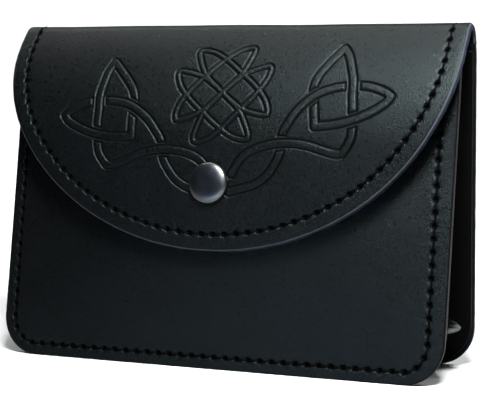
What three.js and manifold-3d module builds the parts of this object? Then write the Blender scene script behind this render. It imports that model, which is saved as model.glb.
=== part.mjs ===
// A black leather sporran pouch: one hide forms the back, the top fold and the half-round flap, and a
// bulging front panel is joined to the back by a channel-shaped gusset. A press stud closes the flap,
// and a plain loop on the back takes the belt.
// Millimetres, +Z up, the front faces -Y, and the pouch stands on its two panel edges at Z = 0.
import * as THREE from "three";
import { mergeVertices } from "three/addons/utils/BufferGeometryUtils.js";
import Module from "manifold-3d";

// Leather
const HIDE = 2.4; // thickness of the back, flap, front and belt loop
const GUSSET_HIDE = 1.6; // the gusset is split thinner so that it bends
const GAP = 0.3; // clearance kept between neighbouring pieces

// Panels
const BACK_WIDTH = 179; // also the width of the flap
const FRONT_WIDTH = 176;
const CORNER_RADIUS = 14.5; // bottom corners of the front and the back
const CORNER_STEPS = 8;
const FRONT_TOP = 108; // top edge of the front panel, hidden under the flap
const FRONT_DEPTH_AT_BASE = 39.2; // back face to front face at the bottom edge
const FRONT_DEPTH_AT_TOP = 17.6; // the pouch is a wedge, thinner at its mouth
const FRONT_BULGE = 5; // how far the middle of the front swells past its edges
const FRONT_COLUMNS = 14;
const FRONT_ROWS = 9;

// Side profile of the back and flap, from the bottom edge up the back, over and down the front.
// Each stretch has a length along the leather, a turn in degrees and a number of steps.
const HIDE_PROFILE = [
  { stretch: "back", length: 111.5, turn: 0, steps: 1 },
  { stretch: "shoulder", length: 10, turn: 22, steps: 4 },
  { stretch: "fold", length: 12, turn: 113, steps: 12 },
  { stretch: "brow", length: 47, turn: 33, steps: 16 },
  { stretch: "fall", length: 39, turn: 4, steps: 16 },
];
const FLAP_CURVE = 76; // length of flap over which its outline closes in as a half ellipse
const FLAP_TIP_HALF = 4; // half width of the flat that ends the outline
const FLAP_OUTLINE_STEPS = 20;

// Gusset channel, open outwards, with a flange sewn inside the edge of each panel
const GUSSET_TOP = 116; // top end of the strip at the back panel, a little way up the shoulder
const GUSSET_TOP_DROP = 9; // how much lower that end lies at the front panel
const GUSSET_SETBACK = 0.6; // flange edge behind the panel edge
const GUSSET_CORNER = 17; // wider than the panels' corners, so that the bent channel can turn
const FLANGE = 8.5; // flange width up to the bend
const BEND = 4; // centre-line radius of the bend from flange to web
const BEND_STEPS = 4;
const WEB_SAG = 1.2; // the web bows inwards between its bends
const SIDE_STATIONS = 7;
const BASE_STATIONS = 9;

// Press stud
const SNAP_FROM_TIP = 24.5; // stud centre above the flap tip, along the leather
const CAP_RADIUS = 7.5;
const CAP_HEIGHT = 2.8;
const CAP_RIM = 0.7; // height of the cap's rolled edge
const CAP_UNDERCUT = 0.4; // how far the cap's underside is drawn in from its edge
const CAP_FULLNESS = 0.8; // power that flattens the dome and fills out its shoulder
const CAP_STEPS = 7;
const SHANK_RADIUS = 2;
const SHANK_CLEARANCE = 0.3;
const SOCKET_RADIUS = 6.2;
const SOCKET_HEIGHT = 1.1;
const NECK_RADIUS = 3.6;
const RIVET_RADIUS = 5;
const RIVET_HEIGHT = 0.8;
const ROUND_SIDES = 28;

// Belt loop on the back
const LOOP_WIDTH = 46;
const LOOP_BASE = 13; // height of its lower edge
const LOOP_TAB = 11; // length sewn flat at each end
const LOOP_RISE = 8; // length over which the strip lifts off the back
const LOOP_OPEN = 58; // height left for the belt
const LOOP_GAP = 5.2; // room for the belt's thickness
const LOOP_EASE = 0.3; // share of the rise that is eased at its foot and at its top
const LOOP_EASE_LIFT = 0.2; // share of the lift that is gained over that

const BACK_HALF = BACK_WIDTH / 2;
const FRONT_HALF = FRONT_WIDTH / 2;
const LEATHER = { color: 0x17181b, roughness: 0.48, metalness: 0 };
const GUSSET_LEATHER = { color: 0x121214, roughness: 0.62, metalness: 0 };
const STUD_METAL = { color: 0x6b6a6f, roughness: 0.3, metalness: 1 };

const wasm = await Module();
wasm.setup();

// A closed geometry from points and triangles, turned the right way out.
function closedGeometry(points, triangles) {
  const a = new THREE.Vector3();
  const volume = triangles.reduce(
    (sum, [i, j, k]) => sum + points[i].dot(a.crossVectors(points[j], points[k])),
    0,
  );
  const faces = volume < 0 ? triangles.map(([i, j, k]) => [i, k, j]) : triangles;
  const geometry = new THREE.BufferGeometry().setFromPoints(points);
  geometry.setIndex(faces.flat());
  return geometry;
}

// A leather wall between two grids of points, its rim closed all round.
function wall(outer, inner) {
  const rows = outer.length;
  const columns = outer[0].length;
  const points = [...outer.flat(), ...inner.flat()];
  const at = (side, r, c) => side * rows * columns + r * columns + c;
  const triangles = [];
  const quad = (a, b, c, d) => triangles.push([a, b, c], [a, c, d]);
  for (let r = 0; r + 1 < rows; r++) {
    for (let c = 0; c + 1 < columns; c++) {
      quad(at(0, r, c), at(0, r, c + 1), at(0, r + 1, c + 1), at(0, r + 1, c));
      quad(at(1, r, c), at(1, r + 1, c), at(1, r + 1, c + 1), at(1, r, c + 1));
    }
    for (const c of [0, columns - 1]) {
      const edge = [at(0, r, c), at(0, r + 1, c), at(1, r + 1, c), at(1, r, c)];
      quad(...(c ? edge.reverse() : edge));
    }
  }
  for (let c = 0; c + 1 < columns; c++) {
    for (const r of [0, rows - 1]) {
      const edge = [at(0, r, c), at(1, r, c), at(1, r, c + 1), at(0, r, c + 1)];
      quad(...(r ? edge.reverse() : edge));
    }
  }
  return closedGeometry(points, triangles);
}

function solidOf(geometry) {
  const bare = geometry.clone();
  for (const name of ["normal", "uv"]) bare.deleteAttribute(name);
  const merged = mergeVertices(bare);
  return new wasm.Manifold(
    new wasm.Mesh({
      numProp: 3,
      vertProperties: merged.attributes.position.array,
      triVerts: new Uint32Array(merged.index.array),
    }),
  );
}

function cut(geometry, tool) {
  const mesh = solidOf(geometry).subtract(solidOf(tool)).getMesh();
  const made = new THREE.BufferGeometry();
  made.setAttribute("position", new THREE.BufferAttribute(mesh.vertProperties, 3));
  made.setIndex(new THREE.BufferAttribute(mesh.triVerts, 1));
  return made;
}

// Points along the hide's outer face with the direction of travel and the length so far.
function hideStations() {
  const stations = [];
  let y = 0;
  let z = 0;
  let heading = Math.PI / 2;
  let along = 0;
  stations.push({ y, z, heading, along });
  for (const { length, turn, steps } of HIDE_PROFILE) {
    const step = length / steps;
    const bend = THREE.MathUtils.degToRad(turn) / steps;
    for (let i = 0; i < steps; i++) {
      heading += bend / 2;
      y += Math.cos(heading) * step;
      z += Math.sin(heading) * step;
      heading += bend / 2;
      along += step;
      stations.push({ y, z, heading, along });
    }
  }
  return stations;
}

// The hide's outer face at a length along it, between the stations.
const STATIONS = hideStations();
const HIDE_LENGTH = STATIONS.at(-1).along;
function hideAt(along) {
  const next = Math.max(1, STATIONS.findIndex((s) => s.along >= along - 1e-9));
  const [a, b] = [STATIONS[next - 1], STATIONS[next]];
  const t = (along - a.along) / (b.along - a.along);
  const mix = (key) => THREE.MathUtils.lerp(a[key], b[key], t);
  return { y: mix("y"), z: mix("z"), heading: mix("heading") };
}

// Half width of a panel with rounded bottom corners, at a height above its bottom edge.
function panelHalfWidth(half, height) {
  const below = CORNER_RADIUS - Math.min(height, CORNER_RADIUS);
  return half - CORNER_RADIUS + Math.sqrt(CORNER_RADIUS ** 2 - below ** 2);
}

function hideHalfWidth(along) {
  const intoCurve = along - (HIDE_LENGTH - FLAP_CURVE);
  if (intoCurve <= 0) return panelHalfWidth(BACK_HALF, along);
  return BACK_HALF * Math.sqrt(Math.max(0, 1 - (intoCurve / FLAP_CURVE) ** 2));
}

const cornerHeights = Array.from(
  { length: CORNER_STEPS + 1 },
  (_, i) => CORNER_RADIUS * (1 - Math.cos((i / CORNER_STEPS) * (Math.PI / 2))),
);

// Lengths along the hide at which a row of points is set: corners, profile bends and flap outline.
function hideRows() {
  const foldRows = STATIONS.map((s) => s.along);
  const outline = Array.from({ length: FLAP_OUTLINE_STEPS }, (_, i) => {
    const angle = ((i + 1) / FLAP_OUTLINE_STEPS) * Math.acos(FLAP_TIP_HALF / BACK_HALF);
    return HIDE_LENGTH - FLAP_CURVE * (1 - Math.sin(angle));
  });
  const curveStart = HIDE_LENGTH - FLAP_CURVE;
  const kept = foldRows.filter((along) => along > CORNER_RADIUS && along < curveStart);
  return [...cornerHeights, ...kept, curveStart, ...outline];
}

function backAndFlap() {
  const outer = [];
  const inner = [];
  for (const along of hideRows()) {
    const { y, z, heading } = hideAt(along);
    const inwardY = -Math.sin(heading);
    const inwardZ = Math.cos(heading);
    const half = hideHalfWidth(along);
    outer.push([-1, 1].map((side) => new THREE.Vector3(side * half, y, z)));
    inner.push(
      [-1, 1].map(
        (side) => new THREE.Vector3(side * half, y + inwardY * HIDE, z + inwardZ * HIDE),
      ),
    );
  }
  return cut(wall(outer, inner), snapHole(snapFrame()));
}

// Y of the front panel's outer face: a leaning plane with a swelling that dies out at its edges.
function frontFace(x, z) {
  const lean = THREE.MathUtils.mapLinear(z, 0, FRONT_TOP, FRONT_DEPTH_AT_BASE, FRONT_DEPTH_AT_TOP);
  const across = Math.max(0, 1 - (x / FRONT_HALF) ** 2);
  const up = Math.sin(Math.PI * THREE.MathUtils.clamp(z / FRONT_TOP, 0, 1));
  return -lean - FRONT_BULGE * across * up;
}

function frontPanel() {
  const upper = Array.from(
    { length: FRONT_ROWS },
    (_, i) => CORNER_RADIUS + ((i + 1) / FRONT_ROWS) * (FRONT_TOP - CORNER_RADIUS),
  );
  const outer = [];
  const inner = [];
  for (const z of [...cornerHeights, ...upper]) {
    const half = panelHalfWidth(FRONT_HALF, z);
    const across = Array.from(
      { length: FRONT_COLUMNS + 1 },
      (_, i) => half * ((2 * i) / FRONT_COLUMNS - 1),
    );
    outer.push(across.map((x) => new THREE.Vector3(x, frontFace(x, z), z)));
    inner.push(across.map((x) => new THREE.Vector3(x, frontFace(x, z) + HIDE, z)));
  }
  return cut(wall(outer, inner), snapHole(studFrame()));
}

// Stations down the back's left edge, round the bottom and up its right edge, each with its outward
// normal and how much lower its front end lies than its back end.
function gussetStations() {
  const stations = [];
  const centre = BACK_HALF - GUSSET_CORNER;
  const add = (x, z, angle, rise = 0) =>
    stations.push({ x, z, nx: Math.cos(angle), nz: Math.sin(angle), drop: rise * GUSSET_TOP_DROP });
  const side = (sign, t) => {
    const z = THREE.MathUtils.lerp(GUSSET_TOP, GUSSET_CORNER, t);
    add(sign * BACK_HALF, z, sign < 0 ? Math.PI : 0, 1 - t);
  };
  for (let i = 0; i < SIDE_STATIONS; i++) side(-1, i / SIDE_STATIONS);
  for (let i = 0; i < CORNER_STEPS; i++) {
    const angle = Math.PI * (1 + (i / CORNER_STEPS) * 0.5);
    add(-centre + GUSSET_CORNER * Math.cos(angle), GUSSET_CORNER * (1 + Math.sin(angle)), angle);
  }
  for (let i = 0; i < BASE_STATIONS; i++) {
    add(THREE.MathUtils.lerp(-centre, centre, i / BASE_STATIONS), 0, -Math.PI / 2);
  }
  for (let i = 0; i < CORNER_STEPS; i++) {
    const angle = Math.PI * (1.5 + (i / CORNER_STEPS) * 0.5);
    add(centre + GUSSET_CORNER * Math.cos(angle), GUSSET_CORNER * (1 + Math.sin(angle)), angle);
  }
  for (let i = 0; i <= SIDE_STATIONS; i++) side(1, 1 - i / SIDE_STATIONS);
  return stations;
}

// One half of the channel's centre line as {inset, rise}: inset from the panel edge and rise off the
// panel, with the direction across the leather towards the outside of the channel.
function channelHalf() {
  const half = GUSSET_HIDE / 2;
  const line = [{ inset: GUSSET_SETBACK, rise: half, outIn: 0, outUp: 1 }];
  for (let i = 0; i <= BEND_STEPS; i++) {
    const angle = (i / BEND_STEPS) * (Math.PI / 2);
    line.push({
      inset: FLANGE + BEND * Math.sin(angle),
      rise: half + BEND * (1 - Math.cos(angle)),
      outIn: -Math.sin(angle),
      outUp: Math.cos(angle),
    });
  }
  return line;
}

function gusset() {
  const half = channelHalf();
  const backFace = -HIDE - 2 * GAP; // clears the start of the shoulder, which leans over the strip's end
  const outer = [];
  const inner = [];
  for (const { x, z, nx, nz, drop } of gussetStations()) {
    const frontX = (x * FRONT_HALF) / BACK_HALF;
    const frontAt = (inset) => frontFace(frontX - nx * inset, z - nz * inset - drop) + HIDE + GAP;
    const place = (inset, y) => {
      const forward = THREE.MathUtils.clamp((backFace - y) / (backFace - frontAt(0)), 0, 1);
      const edge = THREE.MathUtils.lerp(x, frontX, forward);
      return new THREE.Vector3(edge - nx * inset, y, z - nz * inset - drop * forward);
    };
    const pair = (inset, yOf, outIn, outY) =>
      [1, -1].map((side) => {
        const shift = (side * GUSSET_HIDE) / 2;
        return place(inset + shift * outIn, yOf + shift * outY);
      });
    const front = half.map(({ inset, rise, outIn, outUp }) =>
      pair(inset, frontAt(inset) + rise, outIn, outUp),
    );
    const back = half
      .map(({ inset, rise, outIn, outUp }) => pair(inset, backFace - rise, outIn, -outUp))
      .reverse();
    const webInset = FLANGE + BEND + WEB_SAG;
    const middle = pair(webInset, (frontAt(webInset) + backFace) / 2, -1, 0);
    const section = [...front, middle, ...back];
    outer.push(section.map(([out]) => out));
    inner.push(section.map(([, within]) => within));
  }
  return wall(outer, inner);
}

// Place and outward direction of the stud on the flap, and of the same axis where it meets the front.
function snapFrame() {
  const { y, z, heading } = hideAt(HIDE_LENGTH - SNAP_FROM_TIP);
  const out = new THREE.Vector3(0, Math.sin(heading), -Math.cos(heading));
  return { point: new THREE.Vector3(0, y, z), out };
}

function studFrame() {
  const { point, out } = snapFrame();
  const step = 0.05;
  const onAxis = point.clone();
  while (onAxis.y < frontFace(0, onAxis.z)) onAxis.addScaledVector(out, -step);
  return { point: onAxis, out };
}

// Turns a lathe's +Y axis to the given direction and sets it at the given point.
function alongAxis(geometry, { point, out }) {
  const turn = new THREE.Quaternion().setFromUnitVectors(new THREE.Vector3(0, 1, 0), out);
  return geometry.applyQuaternion(turn).translate(point.x, point.y, point.z);
}

function snapHole(frame) {
  const radius = SHANK_RADIUS + SHANK_CLEARANCE;
  return alongAxis(new THREE.CylinderGeometry(radius, radius, 4 * HIDE, ROUND_SIDES / 2), frame);
}

// Cap with a low dome, a rolled edge and a shank that ends level with the flap's inner face.
function snapCap() {
  const profile = [
    new THREE.Vector2(0, -HIDE),
    new THREE.Vector2(SHANK_RADIUS, -HIDE),
    new THREE.Vector2(SHANK_RADIUS, GAP),
    new THREE.Vector2(CAP_RADIUS - CAP_UNDERCUT, GAP),
    new THREE.Vector2(CAP_RADIUS, GAP + CAP_RIM / 2),
  ];
  for (let i = 0; i < CAP_STEPS; i++) {
    const angle = (i / CAP_STEPS) * (Math.PI / 2);
    const radius = CAP_RADIUS * Math.cos(angle) ** CAP_FULLNESS;
    const rise = (CAP_HEIGHT - CAP_RIM) * Math.sin(angle) ** CAP_FULLNESS;
    profile.push(new THREE.Vector2(radius, GAP + CAP_RIM + rise));
  }
  profile.push(new THREE.Vector2(0, GAP + CAP_HEIGHT));
  return alongAxis(new THREE.LatheGeometry(profile, ROUND_SIDES), snapFrame());
}

// Socket, neck, shank through the front and rivet head inside it, as one turned piece.
function snapStud() {
  const stud = studFrame();
  const snap = snapFrame();
  const reach = snap.point.clone().sub(stud.point).dot(stud.out) - HIDE - GAP;
  const foot = 2 * GAP; // clears the front, whose face leans a little off the stud's axis
  const rivetTop = -HIDE - 2 * GAP;
  const profile = [
    new THREE.Vector2(0, rivetTop - RIVET_HEIGHT),
    new THREE.Vector2(RIVET_RADIUS, rivetTop - RIVET_HEIGHT),
    new THREE.Vector2(RIVET_RADIUS, rivetTop),
    new THREE.Vector2(SHANK_RADIUS, rivetTop),
    new THREE.Vector2(SHANK_RADIUS, foot),
    new THREE.Vector2(NECK_RADIUS, foot),
    new THREE.Vector2(NECK_RADIUS, reach - SOCKET_HEIGHT),
    new THREE.Vector2(SOCKET_RADIUS, reach - SOCKET_HEIGHT),
    new THREE.Vector2(SOCKET_RADIUS, reach),
    new THREE.Vector2(0, reach),
  ];
  return alongAxis(new THREE.LatheGeometry(profile, ROUND_SIDES), stud);
}

// A strip sewn flat at both ends that stands off the back in between.
function beltLoop() {
  const eased = LOOP_RISE * LOOP_EASE;
  const steep = LOOP_RISE - 2 * eased;
  const low = LOOP_GAP * LOOP_EASE_LIFT;
  const high = LOOP_GAP - low;
  const lift = [
    { length: 0, off: 0 },
    { length: LOOP_TAB, off: 0 },
    { length: eased, off: low },
    { length: steep, off: high },
    { length: eased, off: LOOP_GAP },
    { length: LOOP_OPEN, off: LOOP_GAP },
    { length: eased, off: high },
    { length: steep, off: low },
    { length: eased, off: 0 },
    { length: LOOP_TAB, off: 0 },
  ];
  const outer = [];
  const inner = [];
  let z = LOOP_BASE;
  for (const { length, off } of lift) {
    z += length;
    const row = (y) => [-1, 1].map((side) => new THREE.Vector3((side * LOOP_WIDTH) / 2, y, z));
    outer.push(row(GAP + off + HIDE));
    inner.push(row(GAP + off));
  }
  return wall(outer, inner);
}

function piece(name, geometry, look) {
  geometry.computeVertexNormals();
  const mesh = new THREE.Mesh(geometry, new THREE.MeshStandardMaterial(look));
  mesh.name = name;
  return mesh;
}

const pouch = new THREE.Group();
pouch.add(
  piece("back_and_flap", backAndFlap(), LEATHER),
  piece("front_panel", frontPanel(), LEATHER),
  piece("gusset", gusset(), GUSSET_LEATHER),
  piece("snap_cap", snapCap(), STUD_METAL),
  piece("snap_stud", snapStud(), STUD_METAL),
  piece("belt_loop", beltLoop(), LEATHER),
);

// The origin is on the standing surface, under the middle of the pouch's box.
const box = new THREE.Box3().setFromObject(pouch);
pouch.position.y = -(box.min.y + box.max.y) / 2;

const part = new THREE.Group();
part.add(pouch);
export default part;
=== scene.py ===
"""A black leather sporran pouch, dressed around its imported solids: grained leather with pressed knotwork,
rounded cut edges, sunk stitching and a plated press stud. Lengths are millimetres until a mesh is made."""

import math

import bmesh
import bpy
import numpy as np
from mathutils import Matrix, Vector


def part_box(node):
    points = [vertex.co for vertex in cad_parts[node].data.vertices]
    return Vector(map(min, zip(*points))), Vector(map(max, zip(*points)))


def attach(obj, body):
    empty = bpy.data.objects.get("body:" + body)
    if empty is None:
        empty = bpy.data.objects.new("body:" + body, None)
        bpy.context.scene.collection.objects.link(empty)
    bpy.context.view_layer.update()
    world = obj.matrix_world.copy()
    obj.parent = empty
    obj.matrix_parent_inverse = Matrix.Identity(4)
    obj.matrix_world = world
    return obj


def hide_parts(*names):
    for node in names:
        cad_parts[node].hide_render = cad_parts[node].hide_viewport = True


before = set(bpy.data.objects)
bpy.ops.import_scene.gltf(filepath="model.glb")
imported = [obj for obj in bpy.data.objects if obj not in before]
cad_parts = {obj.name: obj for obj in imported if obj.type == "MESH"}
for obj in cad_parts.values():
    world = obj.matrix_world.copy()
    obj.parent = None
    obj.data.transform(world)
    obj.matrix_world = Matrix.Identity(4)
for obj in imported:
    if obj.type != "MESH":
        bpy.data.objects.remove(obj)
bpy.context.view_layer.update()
MM = 0.001


def node_box(node):
    low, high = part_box(node)
    return np.array(low) / MM, np.array(high) / MM


# Leather and panels, as in the solids
HIDE = 2.4
GUSSET_HIDE = 1.6
GAP = 0.3
BACK_HALF = node_box("back_and_flap")[1][0]
BACK_Y = node_box("back_and_flap")[1][1]
FRONT_HALF = node_box("front_panel")[1][0]
FRONT_TOP = node_box("front_panel")[1][2]
CORNER_RADIUS = 14.5
FRONT_DEPTH_AT_BASE = 39.2
FRONT_DEPTH_AT_TOP = 17.6
FRONT_BULGE = 5
BACK_STRAIGHT = 111.5
HIDE_PROFILE = ((BACK_STRAIGHT, 0), (10, 22), (12, 113), (47, 33), (39, 4))  # length and turn in degrees
HIDE_LENGTH = sum(length for length, turn in HIDE_PROFILE)
FLAP_CURVE = 76
FLAP_TIP_HALF = 4
GUSSET_TOP = 116
GUSSET_TOP_DROP = 9
GUSSET_SETBACK = 0.6
GUSSET_CORNER = 17
FLANGE = 8.5
BEND = 4
WEB_SAG = 1.2
SNAP_FROM_TIP = 24.5
CAP_RADIUS = 7.5
CAP_HEIGHT = 2.8
LOOP_HALF = node_box("belt_loop")[1][0]
LOOP_BASE = node_box("belt_loop")[0][2]
LOOP_TOP = node_box("belt_loop")[1][2]
LOOP_TAB = 11
LOOP_RISE = 8
LOOP_GAP = 5.2

# Puckers of the gusset's web, one near each bottom corner
PUCKER_HEIGHT = 15.5
PUCKER_SLANT = 6  # it lies this much higher at the back than at the front
PUCKER_SPREAD = 2.4  # half the height over which it fades
PUCKER_LIFT = 12  # how far it stands out of the web
PUCKER_SKEW = 1.6  # above 1 it stands out furthest nearer the back
CREASE_HIGHLIGHT_RANGE = (0.86, 1)  # shares of its lift between which its crest turns pale: a painted highlight

# The stud cap's rim and dome
CAP_RIM = ((0.9, 0), (0.35, 0.08), (0.06, 0.3), (0, 0.6))  # how far inside the radius, and how high
CAP_DOME_FOOT = 0.75
CAP_DOME_START = 6  # degrees, of the dome's first ring
CAP_DOME_RINGS = 22
CAP_SPOKES = 96
CAP_FULLNESS = 0.8  # below 1 the dome is fuller than an ellipse
CAP_RUB_AND_SHEEN_START = 0.7  # share of the radius where the plate starts to be rubbed bright, which also paints in the rim's highlight

# Leather faces and cut edges
HIDE_SWELL = 0.1
FRONT_SWELL = 0.12
RIPPLE = 0.05
EDGE_ROUND = 0.6
EDGE_ANGLES = np.radians((22, 45, 67, 90))
EDGE_FRAY = 0.03
FRAY_WAVES = ((1.9, 0), (0.73, 1), (4.1, 2))  # along an edge: radians to the millimetre, and at its start
RAW_SLANT = 0.45  # a raw edge reaches this much further out on its flesh side
RAW_TATTER = 0.35  # and is uneven by this much there
RAW_FROM = 118  # length along the hide from which its edge is left raw
GROOVE_SHADE_RANGE = (0.12, 0.4)  # depths between which pressed lines, seam grooves and awl holes are drawn dark: painted shade
GRAIN_LOOK, BURNISHED_LOOK, FLESH_LOOK, RAW_LOOK, FRAYED_HIGHLIGHT_LOOK = range(5)  # of a leather sheet's faces

# Mesh fineness
SPLIT = 4  # a cell of a sheet that carries detail is split this many times each way
COARSE = 1.2  # side of an unsplit cell on the flap
FLAP_SEAM_MARGIN = 0.7  # how far past COARSE the cells along a seam are split
FRONT_SEAM_MARGIN = 0.6
LOOP_SEAM_MARGIN = 0.4
SEARCH_REACH = 6  # distances from a path are measured up to this
FLESH_STEP = 5  # the flesh face keeps one column in so many
HIDE_COLUMNS = 150
FRONT_COLUMNS = 140
LOOP_COLUMNS = 30
CORNER_ROW_COUNT = 14
BACK_ROW_COUNT = 40
FOLD_ROW_COUNT = 26
FOLD_END = 140  # length along the hide past which its rows lie COARSE apart
TIP_LENGTH = 9  # they end this far from the flap's tip
TIP_ROW_COUNT = 16
TIP_START = 0.42  # the tip's rows start where the flap has this share of its width
TIP_ROW_GAP = 0.3  # and at least this far past the last of the others
FRONT_ROW_COUNT = 60
LOOP_ROW_COUNT = 64
BOTTOM_STEP = 2.5  # between the gusset's stations along the bottom
SIDE_STEP = 0.9  # and up the sides
CORNER_STATIONS = 30
FLANGE_POINTS = 6
BEND_POINTS = 8
WEB_POINTS = 20

# Seams
SEAM_INSET = 6
FRONT_SEAM_LOW = 4.5  # the front's seam lies nearer its bottom edge and its left edge
FRONT_SEAM_DROP = 3  # from the front's top edge to its seam's ends
LOOP_SEAM_INSET = 4
LOOP_SEAM_NEAR = 2.5  # from the loop's end to the first and the second row of the box of stitches
LOOP_SEAM_FAR = 9.5
STITCH_PITCH = 4.55
GROOVE_DEPTH = 0.34
GROOVE_WIDTH = 0.36
HOLE_DEPTH = 0.9
HOLE_LONG = 1.35
HOLE_SHORT = 1.2
LIP_LIFT = 0.22
LIP_LONG = 0.35
LIP_SHORT = 0.5
HOLE_SLANT = math.radians(35)  # of a hole's long way, off square to the seam
THREAD_RADIUS = 0.28
THREAD_END = 0.75  # share of the radius at a thread's ends
THREAD_SIDES = 6
STITCH_RINGS = 9
STITCH_SHARE = 0.92  # of the pitch that one thread spans
STITCH_SLANT = 0.22  # how far its ends lie off the seam, one to each side
STITCH_DIP = 0.8  # how deep its ends lie
STITCH_RISE = 0.76  # of its middle over its ends
STITCH_FULLNESS = 0.55  # below 1 it lies flat for longer

# Pressed knotwork, in a frame of its own that lies a little askew on the flap
KNOT_X = 1.5
KNOT_FROM_TIP = 58.3
KNOT_TILT = math.radians(3.9)
KNOT_LEAN = math.radians(5)
SIDE_BAND_HALF = 1.55
MIDDLE_BAND_HALF = 1.05
LINE_WIDTH = 0.3
LINE_DEPTH = 0.5
UNDER_GAP = 1.2  # a band that passes under another stops this far from it
BAND_CROWN = 0.12
MIDDLE_ANGLE = math.radians(42)
MIDDLE_NARROW = 0.95
# Half of one side's strand: from the stud out to the point, back, up, down and along the wave to the stud
RISING = ((3, -37), (8, -36), (13.5, -34.5), (18, -31.5), (21, -27.5), (23, -23.5), (24, -17), (26.5, -12.5),
          (29.5, -8.5), (33.5, -5), (37.5, -2.5), (42.5, -1), (47, -0.5), (53.5, -0.6), (58, -1.7),
          (62, -3.6), (64.2, -5.4))
RETURNING = ((64.2, -5.4), (62.2, -7.8), (57.5, -10.6), (52, -12.8), (46, -14.2), (40, -14.8), (36.2, -14.9))
CLIMBING = ((36.2, -14.9), (36, -11), (35.8, -7.5), (35.4, -3.5), (35.4, 0.5), (36.9, 4.5), (40.5, 9.5),
            (43.3, 13), (45.5, 15.6))
FALLING = ((45.5, 15.6), (47.5, 12), (49, 6.5), (50, 1.5), (50, -4), (50.3, -9), (50.1, -17), (49.2, -21),
           (46.5, -25))
WAVING = ((46.5, -25), (43.5, -25), (38.5, -23.4), (33.5, -21.6), (27.5, -20.5), (20.5, -20.5), (13.5, -22),
          (8, -25), (4, -30.5))
# One closed loop of the middle knot, along and across its slope: its outer side, then the side at the centre
LOOP = ((-20.4, 5.7), (-19.2, 7.3), (-15, 9.4), (-8, 10.4), (0, 10.5), (8, 10.4), (15, 9.4), (19.2, 7.3),
        (20.4, 5.7), (19.3, 4.4), (16, 2.6), (12.2, 1), (8, 0.2), (0, 0), (-8, 0.2), (-12.2, 1), (-16, 2.6),
        (-19.3, 4.4), (-20.4, 5.7))


def smoothstep(low, high, value):
    share = np.clip((np.asarray(value, float) - low) / (high - low), 0, 1)
    return share * share * (3 - 2 * share)


def smooth_path(points, step=0.4):
    """A dense polyline on a smooth curve through the points."""
    points = np.array(points, float)
    padded = np.vstack([2 * points[0] - points[1], points, 2 * points[-1] - points[-2]])
    made = []
    for before, a, b, after in zip(padded, padded[1:], padded[2:], padded[3:]):
        count = max(2, int(np.linalg.norm(b - a) / step))
        t = np.linspace(0, 1, count, endpoint=False)[:, None]
        slope_a, slope_b = (b - before) / 2, (after - a) / 2
        made.append((2 * t**3 - 3 * t**2 + 1) * a + (t**3 - 2 * t**2 + t) * slope_a
                    + (3 * t**2 - 2 * t**3) * b + (t**3 - t**2) * slope_b)
    return np.vstack([*made, points[-1:]])


def distance_to_path(x, v, path):
    """Distance of each point from a polyline, how far along it the nearest place is, and on which side."""
    steps = np.diff(path, axis=0)
    lengths = np.hypot(steps[:, 0], steps[:, 1])
    before = np.concatenate([[0], np.cumsum(lengths)[:-1]])
    distance = np.full(len(x), float(SEARCH_REACH))
    along = np.zeros(len(x))
    side = np.ones(len(x))
    low, high = path.min(0) - SEARCH_REACH, path.max(0) + SEARCH_REACH
    near = np.flatnonzero((x > low[0]) & (x < high[0]) & (v > low[1]) & (v < high[1]))
    for some in np.array_split(near, max(1, len(near) * len(steps) // 1_000_000)):
        dx = x[some, None] - path[:-1, 0]
        dv = v[some, None] - path[:-1, 1]
        share = np.clip((dx * steps[:, 0] + dv * steps[:, 1]) / lengths**2, 0, 1)
        gap = np.hypot(dx - share * steps[:, 0], dv - share * steps[:, 1])
        best = gap.argmin(1)
        pick = np.arange(len(some))
        distance[some] = np.minimum(gap[pick, best], SEARCH_REACH)
        along[some] = before[best] + share[pick, best] * lengths[best]
        side[some] = np.sign(steps[best, 0] * dv[pick, best] - steps[best, 1] * dx[pick, best])
    return distance, along, side


def path_length(path):
    return np.hypot(*np.diff(path, axis=0).T).sum()


# The hide: back, fold and flap in one, laid out by x and by the length along its outer face
def hide_line(along):
    """y, z and heading of the hide's outer face."""
    along = np.asarray(along, float)
    y, z, heading = np.full_like(along, BACK_Y), along.copy(), np.full_like(along, math.pi / 2)
    start, y0, z0, h0 = 0.0, BACK_Y, 0.0, math.pi / 2
    for length, turn in HIDE_PROFILE:
        part = np.minimum(along - start, length)
        here = along >= start
        bend = math.radians(turn) / length
        if turn:
            turned = h0 + bend * part
            y = np.where(here, y0 + (np.sin(turned) - math.sin(h0)) / bend, y)
            z = np.where(here, z0 - (np.cos(turned) - math.cos(h0)) / bend, z)
            heading = np.where(here, turned, heading)
            h1 = h0 + math.radians(turn)
            y0, z0 = y0 + (math.sin(h1) - math.sin(h0)) / bend, z0 - (math.cos(h1) - math.cos(h0)) / bend
            h0 = h1
        else:
            y0, z0 = y0 + math.cos(h0) * length, z0 + math.sin(h0) * length
        start += length
    return y, z, heading


def hide_place(x, along, depth):
    y, z, heading = hide_line(along)
    return np.stack([x, y - np.sin(heading) * depth, z + np.cos(heading) * depth], -1)


def panel_half(half, height, inset):
    """Half width of a panel with rounded bottom corners, drawn in all round by an inset."""
    radius = CORNER_RADIUS - inset
    below = CORNER_RADIUS - np.clip(height, inset, CORNER_RADIUS)
    return half - CORNER_RADIUS + np.sqrt(np.maximum(0, radius**2 - below**2))


def hide_half(along, inset):
    curve_start = HIDE_LENGTH - FLAP_CURVE
    into = np.clip((along - curve_start) / (FLAP_CURVE - inset), 0, 1)
    ellipse = (BACK_HALF - inset) * np.sqrt(1 - into**2)
    flap = np.maximum(ellipse, FLAP_TIP_HALF)
    return np.where(along > curve_start, flap, panel_half(BACK_HALF, along, inset))


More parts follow.
